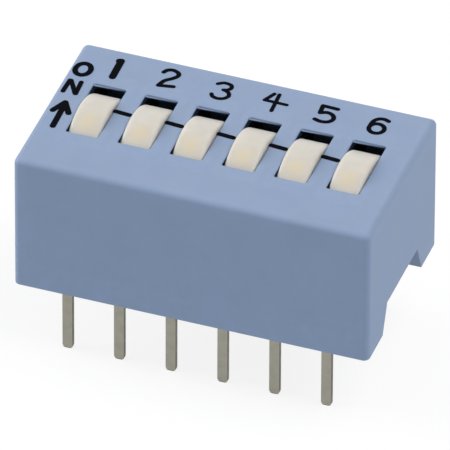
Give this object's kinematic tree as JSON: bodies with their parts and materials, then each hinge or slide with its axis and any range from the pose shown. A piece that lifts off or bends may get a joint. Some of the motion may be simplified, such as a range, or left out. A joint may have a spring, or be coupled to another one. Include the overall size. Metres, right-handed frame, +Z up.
{
  "type": "dip switch",
  "caption": "Through-hole DIP switch: light-blue moulded housing, off-white rockers in slots and two rows of tinned pins.",
  "frame": {"origin": "middle of the pin field, on the seating plane where the housing's lower edges stand on the board", "axes": "+X along the row of stations from 1 to 6, +Y from the front row of pins to the rear row and towards the ON side, +Z up, away from the board"},
  "size_m": [0.0174, 0.0096, 0.0113],
  "materials": {
    "housing_blue": "fine satin moulded plastic, slate light blue",
    "base_black": "moulded, near black",
    "epoxy": "cast epoxy, near black",
    "rocker_white": "satin moulded plastic, warm white",
    "spring_steel": "drawn stainless wire",
    "ball_gold": "gold-plated brass, polished",
    "tinned_strip": "dull tin plate on copper-alloy strip"
  },
  "bodies": {
    "frame": {"housing": "housing_blue", "base": "base_black", "seal": "epoxy", "terminal_front_1": "tinned_strip", "terminal_front_2": "tinned_strip", "terminal_front_3": "tinned_strip", "terminal_front_4": "tinned_strip", "terminal_front_5": "tinned_strip", "terminal_front_6": "tinned_strip", "terminal_rear_1": "tinned_strip", "terminal_rear_2": "tinned_strip", "terminal_rear_3": "tinned_strip", "terminal_rear_4": "tinned_strip", "terminal_rear_5": "tinned_strip", "terminal_rear_6": "tinned_strip"},
    "pole_1": {"rocker_1": "rocker_white", "spring_1": "spring_steel", "ball_1": "ball_gold"},
    "pole_2": {"rocker_2": "rocker_white", "spring_2": "spring_steel", "ball_2": "ball_gold"},
    "pole_3": {"rocker_3": "rocker_white", "spring_3": "spring_steel", "ball_3": "ball_gold"},
    "pole_4": {"rocker_4": "rocker_white", "spring_4": "spring_steel", "ball_4": "ball_gold"},
    "pole_5": {"rocker_5": "rocker_white", "spring_5": "spring_steel", "ball_5": "ball_gold"},
    "pole_6": {"rocker_6": "rocker_white", "spring_6": "spring_steel", "ball_6": "ball_gold"}
  },
  "joints": [
    {"name": "rocker_1_tilt", "type": "hinge", "parent": "frame", "child": "pole_1", "pos_m": [-0.00635, 0, 0.0063], "axis": [1, 0, 0], "range_deg": [0, 14]},
    {"name": "rocker_2_tilt", "type": "hinge", "parent": "frame", "child": "pole_2", "pos_m": [-0.00381, 0, 0.0063], "axis": [1, 0, 0], "range_deg": [0, 14]},
    {"name": "rocker_3_tilt", "type": "hinge", "parent": "frame", "child": "pole_3", "pos_m": [-0.00127, 0, 0.0063], "axis": [1, 0, 0], "range_deg": [0, 14]},
    {"name": "rocker_4_tilt", "type": "hinge", "parent": "frame", "child": "pole_4", "pos_m": [0.00127, 0, 0.0063], "axis": [1, 0, 0], "range_deg": [0, 14]},
    {"name": "rocker_5_tilt", "type": "hinge", "parent": "frame", "child": "pole_5", "pos_m": [0.00381, 0, 0.0063], "axis": [1, 0, 0], "range_deg": [0, 14]},
    {"name": "rocker_6_tilt", "type": "hinge", "parent": "frame", "child": "pole_6", "pos_m": [0.00635, 0, 0.0063], "axis": [1, 0, 0], "range_deg": [0, 14]}
  ]
}
